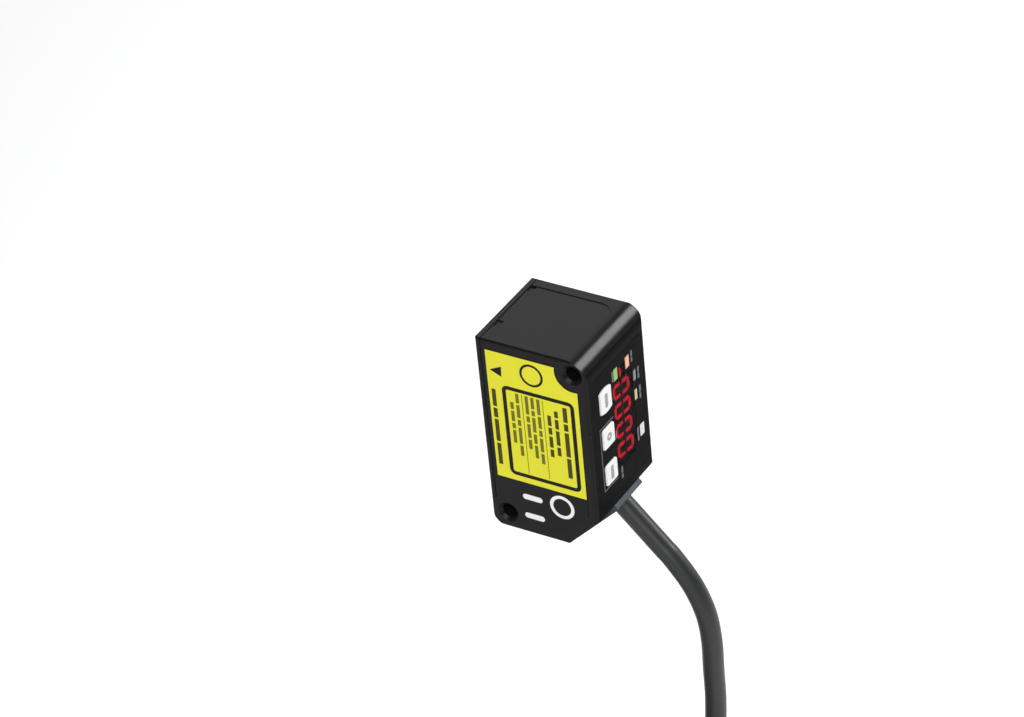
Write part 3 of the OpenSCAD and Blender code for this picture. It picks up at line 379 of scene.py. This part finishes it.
def printPiece(name, outlines, plane, material, level=0):
    low = level - printSet["sunk"]
    return flatPiece(name, outlines, plane, low, low + printSet["thick"], material)


def arc(u, v, radius, start, end, steps=16):
    # points on a circle, angles in degrees
    angles = [math.radians(start + (end - start) * k / steps) for k in range(steps + 1)]
    return [(u + radius * math.cos(a), v + radius * math.sin(a)) for a in angles]


def circle(u, v, radius, steps=48):
    return arc(u, v, radius, 0, 360, steps)[:-1]


def roundBox(u0, v0, u1, v1, radius):
    corners = ((u1, v1, -1, -1, 0), (u0, v1, 1, -1, 90), (u0, v0, 1, 1, 180), (u1, v0, -1, 1, 270))
    return [p for u, v, du, dv, a in corners for p in arc(u + du * radius, v + dv * radius, radius, a, a + 90, 6)]


# Rows of bars: a geometry tree that sets a bar on every point, turned and sized by the point

def barTreeGroup():
    tree = bpy.data.node_groups.new("barOnEachPoint", "GeometryNodeTree")
    tree.interface.new_socket("Geometry", in_out="INPUT", socket_type="NodeSocketGeometry")
    thickness = tree.interface.new_socket("Thickness", in_out="INPUT", socket_type="NodeSocketFloat")
    material = tree.interface.new_socket("Material", in_out="INPUT", socket_type="NodeSocketMaterial")
    tree.interface.new_socket("Geometry", in_out="OUTPUT", socket_type="NodeSocketGeometry")
    given = addNode(tree, "NodeGroupInput")
    sizes = [addNode(tree, "GeometryNodeInputNamedAttribute", {"Name": name}, data_type="FLOAT").outputs[0]
             for name in ("barWidth", "barLength", "barTurn")]
    scale = addNode(tree, "ShaderNodeCombineXYZ", {0: sizes[0], 1: sizes[1], 2: given.outputs["Thickness"]})
    spin = addNode(tree, "ShaderNodeCombineXYZ", {2: sizes[2]})
    bar = addNode(tree, "GeometryNodeMeshCube", {"Size": (1, 1, 1)})
    bars = addNode(tree, "GeometryNodeInstanceOnPoints",
                   {"Points": given.outputs["Geometry"], "Instance": bar.outputs["Mesh"],
                    "Rotation": spin.outputs[0], "Scale": scale.outputs[0]})
    real = addNode(tree, "GeometryNodeRealizeInstances", {"Geometry": bars.outputs[0]})
    dressed = addNode(tree, "GeometryNodeSetMaterial",
                      {"Geometry": real.outputs[0], "Material": given.outputs["Material"]})
    addNode(tree, "NodeGroupOutput", {"Geometry": dressed.outputs[0]})
    return tree, thickness.identifier, material.identifier


barTools = barTreeGroup()


def barPiece(name, bars, plane, low, high, material):
    # bars as (u, v, width along u, length along v, turn)
    tree, thicknessId, materialId = barTools
    mesh = bpy.data.meshes.new(name + "Points")
    mesh.from_pydata([(u, v, (low + high) / 2) for u, v, *sizes in bars], [], [])
    for k, attribute in enumerate(("barWidth", "barLength", "barTurn")):
        mesh.attributes.new(attribute, "FLOAT", "POINT").data.foreach_set("value", [bar[2 + k] for bar in bars])
    points = newObject(name + "Points", mesh)
    maker = points.modifiers.new("bars", "NODES")
    maker.node_group = tree
    maker[thicknessId] = high - low
    maker[materialId] = material
    made = plainMesh(points)
    made.transform(planes[plane])
    made.name = name
    return newObject(name, made)


def dashes(u, width, lengths, top, gap):
    # one printed line: dashes from the top down
    line = []
    for length in lengths:
        line.append((u, top - length / 2, width, length, 0))
        top -= length + gap
    return line


# Label on the side: yellow field, frame, plain bars in place of print, and white marks below

labelSet = {
    "low": 2.12, "right": 21.88, "top": 41.88, "fieldFoot": 12.3,
    "hole": (21, 41), "holeCut": 3.85,
    "frame": (5.1, 13.6, 20.9, 34.55), "frameRadius": 1.3, "frameStroke": 0.85,
    "pointer": ((2.8, 37.45), (5.4, 38.75), (5.3, 36.4)),
    "ring": (12.0, 38.5, 2.55, 0.5),             # u, v, outer radius, stroke
    "whiteRing": (16.15, 8.7, 2.7, 0.72),
    "whiteBars": ((9.6, 8.85, 4.4, 1.25), (9.7, 4.35, 4.4, 1.25)),
    "barEnd": 0.01,                              # what the round ends of the white bars lack of a half circle
    # middle, width, dash lengths and top of each printed line
    "headLines": [(18.75, 0.95, (3.4, 1.6, 5.6, 4.6), 33.0), (16.75, 0.8, (1.5, 2.2, 3.4, 2.0), 31.6),
                  (15.15, 0.8, (2.4, 1.6, 2.6, 1.8), 30.2), (3.2, 0.9, (4.0, 2.2, 5.2, 5.0), 33.0)],
    "smallLines": [(12.95, 0.72, (3.6, 2.8, 1.4, 3.2, 2.4), 33.3), (11.65, 0.72, (2.6, 1.2, 3.4, 2.2, 3.0), 33.3),
                   (10.4, 0.72, (4.2, 1.4, 3.2, 2.2), 33.3), (8.35, 0.72, (2.2, 3.0, 1.4, 3.8, 2.4), 33.3),
                   (7.05, 0.72, (1.6, 2.4, 1.2, 3.0), 31.0)],
    "dashGap": 0.45,
    "dividers": [(13.95, 14.9, 33.4), (9.4, 14.9, 33.4)], "dividerWidth": 0.14,
}
foot, holeU, holeV, cutRadius = labelSet["fieldFoot"], *labelSet["hole"], labelSet["holeCut"]
cutReach = math.sqrt(cutRadius ** 2 - (labelSet["top"] - holeV) ** 2)
cutAngle = math.degrees(math.atan2(labelSet["top"] - holeV, -cutReach))
fieldOutline = [(labelSet["low"], foot), (labelSet["right"], foot)]
fieldOutline += reversed(arc(holeU, holeV, cutRadius, cutAngle, 450 - cutAngle, 24))
fieldOutline.append((labelSet["low"], labelSet["top"]))
keep(printPiece("labelYellowField", [fieldOutline], "label", yellowInk), "sensor", "label_film")

raised = printSet["thick"] - 2 * printSet["sunk"]      # print on top of the yellow
u0, v0, u1, v1 = labelSet["frame"]
stroke = labelSet["frameStroke"]
frameLoops = [roundBox(u0, v0, u1, v1, labelSet["frameRadius"]),
              roundBox(u0 + stroke, v0 + stroke, u1 - stroke, v1 - stroke, labelSet["frameRadius"] - stroke)]
keep(printPiece("labelFrame", frameLoops, "label", blackInk, raised), "sensor", "label_film")
u, v, outer, stroke = labelSet["ring"]
keep(printPiece("labelRing", [circle(u, v, outer), circle(u, v, outer - stroke)], "label", blackInk, raised),
     "sensor", "label_film")
keep(printPiece("labelPointer", [labelSet["pointer"]], "label", blackInk, raised), "sensor", "label_film")
thin = labelSet["dividerWidth"]
for barsName, lines, ink in (("labelHeadBars", "headLines", deepOliveInk),
                             ("labelSmallBars", "smallLines", oliveInk)):
    printedBars = []
    for u, width, lengths, top in labelSet[lines]:
        printedBars += dashes(u, width, lengths, top, labelSet["dashGap"])
    if ink == oliveInk:
        printedBars += [(u, (low + high) / 2, thin, high - low, 0) for u, low, high in labelSet["dividers"]]
    keep(barPiece(barsName, printedBars, "label", raised, raised + printSet["thick"], ink), "sensor", "label_film")
u, v, outer, stroke = labelSet["whiteRing"]
whiteLoops = [circle(u, v, outer), circle(u, v, outer - stroke)]
for u, v, long, wide in labelSet["whiteBars"]:
    endRadius = wide / 2 - labelSet["barEnd"]
    whiteLoops.append(roundBox(u - long / 2, v - wide / 2, u + long / 2, v + wide / 2, endRadius))
keep(printPiece("labelWhiteMarks", whiteLoops, "label", whiteInk), "sensor", "label_film")
print("label printed")


# Edges broken on copies of the CAD pieces

edgeSet = {
    # degrees between faces: an edge to break, one that stays sharp, and two faces in one plane
    "broken": 40, "sharp": 35, "level": 1,
    "broad": 0.35,                      # least area over perimeter of a face that counts as broad
    "weld": 0.001,
    # x just short of the faces of panel, keys and cover, and x less z just short of the boot's
    "panelFace": 11.69, "capFace": 11.99, "coverFace": -12.29, "bootFace": 28.3,
    # how wide each broken edge is
    "key": 0.2, "lamp": 0.12, "window": 0.08, "panel": 0.06, "cover": 0.12, "boot": 0.14,
}


def softCopy(name, node, body, width, picks, segments=3):
    # breaks the edges whose ends picks accepts, in mm in the part's frame
    mesh = nodes[node].data.copy()
    mesh.name = name
    loadedNormals = mesh.attributes.get("custom_normal")
    if loadedNormals:
        mesh.attributes.remove(loadedNormals)
    broken, sharp, level = (math.radians(edgeSet[key]) for key in ("broken", "sharp", "level"))
    shape = bmesh.new()
    shape.from_mesh(mesh)
    bmesh.ops.remove_doubles(shape, verts=shape.verts, dist=edgeSet["weld"] * mm)
    bmesh.ops.dissolve_limit(shape, angle_limit=level, verts=shape.verts, edges=shape.edges)
    edges = [e for e in shape.edges if e.calc_face_angle(0) > broken and all(picks(v.co / mm) for v in e.verts)]
    bmesh.ops.bevel(shape, geom=edges, offset=width * mm, offset_type="OFFSET", segments=segments, profile=0.5,
                    affect="EDGES", clamp_overlap=True)
    for edge in shape.edges:
        edge.smooth = edge.calc_face_angle(math.pi) < sharp
    for face in shape.faces:
        # broad flat faces keep their own normal, also in several pieces; bevels and curves run into each other
        sheet = [face] + [f for e in face.edges if e.calc_face_angle(math.pi) < level for f in e.link_faces]
        face.smooth = all(f.calc_area() < edgeSet["broad"] * mm * f.calc_perimeter() for f in sheet)
    shape.to_mesh(mesh)
    shape.free()
    return keep(newObject(name, mesh), body, nodeSlots[node], node)


def onPanel(place):
    return place.x > edgeSet["panelFace"]


for keyName in ("teach_key", "up_key", "down_key"):
    softCopy(keyName.split("_")[0] + "KeyCap", keyName, keyName, edgeSet["key"],
             lambda place: place.x > edgeSet["capFace"], 4)
for lampNode in ("laser_lamp", "output_lamp", "mode_lamp", "zero_lamp"):
    softCopy(lampNode.split("_")[0] + "LampLens", lampNode, "sensor", edgeSet["lamp"], onPanel)
softCopy("displayPane", "display_window", "sensor", edgeSet["window"], onPanel, 2)
softCopy("rearPanelPlate", "rear_panel", "sensor", edgeSet["panel"], onPanel, 2)
# the cover's edges and hooks are enamelled, and only the pane's two faces are clear
coverSet = {"back": -11.25, "flat": 0.99}       # x just behind the pane, and which faces count as flat
coverPane = softCopy("frontCoverPane", "front_cover", "sensor", edgeSet["cover"],
                     lambda place: place.x < edgeSet["coverFace"])
coverPane.data.materials.append(edgeEnamel)
for face in coverPane.data.polygons:
    if abs(face.normal.x) < coverSet["flat"] or face.center.x > coverSet["back"] * mm:
        face.material_index = 1
softCopy("cableBootBlock", "cable_boot", "sensor", edgeSet["boot"],
         lambda place: place.x - place.z > edgeSet["bootFace"])
print("edges softened")


# Lip of the front seal, which fills the seam round the cover up to its hooks
sealSet = {"low": 0.02, "high": 0.18, "foot": 7.3, "head": (42.65, 43.75), "corner": 0.1,
           "sides": ((0.25, 1.35), (20.65, 21.75)), "spans": ((1.4, 4.95), (7.05, 17.45), (19.55, 20.6))}
headLow, headHigh = sealSet["head"]
lipLoops = [roundBox(u0, sealSet["foot"], u1, headHigh, sealSet["corner"]) for u0, u1 in sealSet["sides"]]
lipLoops += [roundBox(u0, headLow, u1, headHigh, sealSet["corner"]) for u0, u1 in sealSet["spans"]]
keep(flatPiece("frontSealLip", lipLoops, "cover", sealSet["low"], sealSet["high"], sealRubber),
     "sensor", "seal_rubber")

# Black border printed on the back of the cover, which hides the seal
borderSet = {"outline": (0.004, 6.604, 21.996, 43.996), "wide": 1.5, "corner": 0.3, "low": -0.005, "high": 0.015}
u0, v0, u1, v1 = borderSet["outline"]
wide = borderSet["wide"]
borderLoops = [[(u0, v0), (u1, v0), (u1, v1), (u0, v1)],
               roundBox(u0 + wide, v0 + wide, u1 - wide, v1 - wide, borderSet["corner"])]
keep(flatPiece("frontCoverBorder", borderLoops, "cover", borderSet["low"], borderSet["high"], blackInk),
     "sensor", "front_acrylic")


# Print on the rear panel and on the keys

rearSet = {
    "bracket": (3.2, 12.4, 8.4, 27.0), "bracketStroke": 0.22,
    "whiteBlock": (17.8, 15.9, 19.4, 18.6, 0.25),       # two corners and the corners' radius
    # middle, width, dash lengths and top of the grey marks beside lamps, block and lowest key
    "marks": [(9.35, 0.5, (2.3,), 36.6), (16.7, 0.55, (1.3, 1.0), 36.9), (18.75, 0.6, (1.2, 1.2), 31.9),
              (18.9, 0.6, (1.6, 1.2), 27.5), (17.0, 0.55, (3.2,), 18.7), (10.1, 0.6, (1.5, 1.0), 14.0),
              (9.0, 0.3, (1.8,), 23.2)],
    "markGap": 0.25,
}
u0, v0, u1, v1 = rearSet["bracket"]
stroke = rearSet["bracketStroke"]
bracketOutline = [(u1, v1), (u0, v1), (u0, v0), (u1, v0), (u1, v0 + stroke), (u0 + stroke, v0 + stroke),
                  (u0 + stroke, v1 - stroke), (u1, v1 - stroke)]
keep(printPiece("panelBracketLine", [bracketOutline], "rear", greyInk), "sensor", "panel_plastic")
keep(printPiece("panelWhiteBlock", [roundBox(*rearSet["whiteBlock"])], "rear", thinWhiteInk),
     "sensor", "panel_plastic")
markBars = []
for u, width, lengths, top in rearSet["marks"]:
    markBars += dashes(u, width, lengths, top, rearSet["markGap"])
keep(barPiece("panelMarks", markBars, "rear", -printSet["sunk"], printSet["thick"], greyInk),
     "sensor", "panel_plastic")

keyMarks = {
    # one plain mark on each key: a bar, a ring and a bar
    "teach_key": [roundBox(5.6, 30.7, 6.6, 33.9, 0.4)],
    "up_key": [circle(6.1, 23.9, 0.85), circle(6.1, 23.9, 0.3)],
    "down_key": [roundBox(5.6, 13.9, 6.6, 17.1, 0.4)],
}
for keyName, outlines in keyMarks.items():
    mark = printPiece(keyName.split("_")[0] + "KeyMark", outlines, "keyTop", paleInk)
    keep(mark, keyName, "key_plastic")
print("panel and keys printed")


# Cable: out of the boot, down, and into a flat coil that lies on the floor

cableSet = {
    "exit": (10.498, -11, -17.858),
    "straight": (0, 4, 8, 12, 15),          # along the bevel's outward direction
    "bends": [(25, -11, -33.7), (27.5, -11, -39.7), (28.4, -11, -46.2), (28.4, -11, -54), (28.4, -11, -61),
              (28.4, -11.9, -67.5), (28.4, -14.4, -73.5), (28.4, -18.3, -78.7), (28.4, -23.5, -82.6),
              (28.4, -29.5, -85.1), (28.4, -36, -86), (28.4, -42, -86)],
    "diameter": 4.3,
    "length": 2000,
    "layers": 3,
    "rows": 4,
    "coilRadius": 25,
    "pointsPerTurn": 60,
    "crossing": 0.32,                       # share of a turn in which it moves to the next place
    "bulge": 2.2,                           # how far it swings out where it changes rows
    "tail": 24,
    "tailSteps": 6,
    "smooth": 6,                            # points between two points of the route
    "sides": 6,                             # how finely the cable is rounded
}


def smoothPath(points, steps):
    # passes through every point, with soft bends between
    ends = [points[0] * 2 - points[1]] + points + [points[-1] * 2 - points[-2]]
    path = []
    for a, b, c, d in zip(ends, ends[1:], ends[2:], ends[3:]):
        for k in range(steps):
            t = k / steps
            path.append(0.5 * (2 * b + (c - a) * t + (2 * a - 5 * b + 4 * c - d) * t * t
                               + (3 * b - a - 3 * c + d) * t ** 3))
    return path + [points[-1]]


def coilPath(start):
    # turns side by side, row under row, clockwise from above
    layers, rows, pitch = cableSet["layers"], cableSet["rows"], cableSet["diameter"]
    outer = cableSet["coilRadius"] + (layers - 1) / 2 * pitch
    middle = Vector((start.x - outer, start.y, 0))
    seats = []
    for row in range(rows):
        order = range(layers) if row % 2 == 0 else reversed(range(layers))
        seats += [(outer - layer * pitch, start.z - row * pitch) for layer in order]
    seats.append(seats[-1])
    path = []
    for (r0, z0), (r1, z1) in zip(seats, seats[1:]):
        for k in range(cableSet["pointsPerTurn"]):
            share = k / cableSet["pointsPerTurn"]
            move = max(0, (share - 1) / cableSet["crossing"] + 1)
            ease = move * move * (3 - 2 * move)
            side = 1 if r0 > cableSet["coilRadius"] else -1
            swing = side * cableSet["bulge"] * math.sin(math.pi * move) ** 2 if z0 != z1 else 0
            radius = r0 + (r1 - r0) * ease + swing
            angle = -2 * math.pi * share
            height = z0 + (z1 - z0) * ease
            path.append(middle + Vector((radius * math.cos(angle), radius * math.sin(angle), height)))
    return path


def tube(name, path, diameter, sides):
    # a round strand along a list of points
    curve = bpy.data.curves.new(name, "CURVE")
    curve.dimensions = "3D"
    curve.bevel_depth = diameter / 2 * mm
    curve.bevel_resolution = sides
    curve.use_fill_caps = True
    strand = curve.splines.new("POLY")
    strand.points.add(len(path) - 1)
    for point, place in zip(strand.points, path):
        point.co = (*(place * mm), 1)
    strand.use_smooth = True
    return curve


bevelOut = Vector((1, 0, -1)).normalized()
cableExit = Vector(cableSet["exit"])
route = [cableExit + bevelOut * s for s in cableSet["straight"]] + [Vector(p) for p in cableSet["bends"]]
cablePath = smoothPath(route, cableSet["smooth"])[:-1] + coilPath(route[-1])
tailStart = Vector((route[-1].x, route[-1].y, route[-1].z - (cableSet["rows"] - 1) * cableSet["diameter"]))
tailStep = Vector((0, -cableSet["tail"] / cableSet["tailSteps"], 0))
cablePath += [tailStart + tailStep * k for k in range(cableSet["tailSteps"] + 1)]
cableCurve = tube("sensorCable", cablePath, cableSet["diameter"], cableSet["sides"])
cableCurve.materials.append(cableSheath)
sensorCable = keep(newObject("sensorCable", cableCurve), "sensor", "cable_sheath",
                   "cable", "cable_coil", "cable_tail")
print("cable laid,", round(sum((b - a).length for a, b in zip(cablePath, cablePath[1:]))), "mm")


# Bare ends: five cores that leave the sheath and spread a little, with stripped tips

coreSet = {
    "colors": {"Brown": "#6a3a1c", "White": "#e4e2dc", "Blue": "#24418e", "Black": "#161618", "Grey": "#8a8c8e"},
    "skin": (0.3, 0.002, (0.4, 0.5)),
    "diameter": 1.1, "ring": 1.3, "length": 22, "stripped": 5, "strand": 0.6, "spread": 1.7, "lift": 0.4,
    "hidden": 2,                            # how far each core reaches back into the sheath
    "steps": 8, "smooth": 4, "sides": 3,
    "overlap": 2,                           # points of each tip that lie inside its core
    "weld": 0.0001,
}
tailEnd = tailStart + Vector((0, -cableSet["tail"], 0))
for k, (colorName, color) in enumerate(coreSet["colors"].items()):
    around = math.radians(90 + 360 / len(coreSet["colors"]) * k)
    offset = Vector((math.cos(around), 0, math.sin(around)))
    points = []
    for step in range(-1, coreSet["steps"] + 1):
        share = max(0, step) / coreSet["steps"]
        grow = coreSet["ring"] + coreSet["spread"] * share ** 2
        height = coreSet["ring"] * (1 - coreSet["lift"] * share)
        along = coreSet["length"] * share - (coreSet["hidden"] if step < 0 else 0)
        points.append(tailEnd + Vector((offset.x * grow, -along, offset.z * height)))
    path = smoothPath(points, coreSet["smooth"])
    cut = len(path) - round(len(path) * coreSet["stripped"] / coreSet["length"])
    insulation = grained(colorName.lower() + "Insulation", color, color, *coreSet["skin"])
    for kind, part, size, finish, slotName in (
            ("core" + colorName, path[:cut], coreSet["diameter"], insulation, "lead_insulation"),
            ("tip" + colorName, path[cut - coreSet["overlap"]:], coreSet["strand"], tinnedCopper, "screw_steel")):
        mesh = plainMesh(newObject(kind + "Path", tube(kind, part, size, coreSet["sides"])))
        cleanMesh(mesh, coreSet["weld"] * mm)
        mesh.materials.clear()
        mesh.materials.append(finish)
        mesh.name = kind
        keep(newObject(kind, mesh), "sensor", slotName, "core_ends")


# Tie: a nylon strap round all the turns, with fine teeth outside and its head inside the coil

tieSet = {
    "thick": 0.6, "gap": 0.15, "width": 4, "corner": 2.2,
    "tooth": 0.5, "toothPitch": 1.1, "toothHeight": 0.14, "toothWidth": 3,
    "plain": 6,                             # length of each side that has no teeth
    "head": (5.2, 4.6, 5.4), "headFoot": 6.4, "headGap": 0.1, "headCorner": 0.8,
}
reach = cableSet["layers"] * cableSet["diameter"] / 2 + tieSet["gap"]
strapIn = (-cableSet["coilRadius"] - reach, 0, -cableSet["coilRadius"] + reach,
           cableSet["rows"] * cableSet["diameter"])
thick = tieSet["thick"]
strapOut = (strapIn[0] - thick, strapIn[1] - thick, strapIn[2] + thick, strapIn[3] + thick)
half = tieSet["width"] / 2
strapLoops = [roundBox(*strapOut, tieSet["corner"] + thick), roundBox(*strapIn, tieSet["corner"])]
strap = flatPiece("coilTie", strapLoops, "coil", -half, half, tieNylon)
keep(strap, "sensor", "tie_plastic", "coil_tie")


def toothPlaces(low, high):
    # evenly along a side of the strap, about its middle
    count = int((high - low - tieSet["plain"]) / tieSet["toothPitch"])
    return [(low + high) / 2 + (k - (count - 1) / 2) * tieSet["toothPitch"] for k in range(count)]


toothSize = (tieSet["toothHeight"] * 2, tieSet["tooth"])
teeth = [(strapOut[0], v, *toothSize, 0) for v in toothPlaces(strapOut[1], strapOut[3])]
teeth += [(u, strapOut[3], *toothSize, math.pi / 2) for u in toothPlaces(strapOut[0], strapOut[2])]
toothHalf = tieSet["toothWidth"] / 2
keep(barPiece("coilTieTeeth", teeth, "coil", -toothHalf, toothHalf, tieNylon),
                    "sensor", "tie_plastic")
headU, headV, headW = tieSet["head"]
headBox = roundBox(strapIn[2] + tieSet["headGap"], tieSet["headFoot"], strapIn[2] + headU,
                   tieSet["headFoot"] + headV, tieSet["headCorner"])
keep(flatPiece("coilTieHead", [headBox], "coil", -headW / 2, headW / 2, tieNylon),
                    "sensor", "tie_plastic")
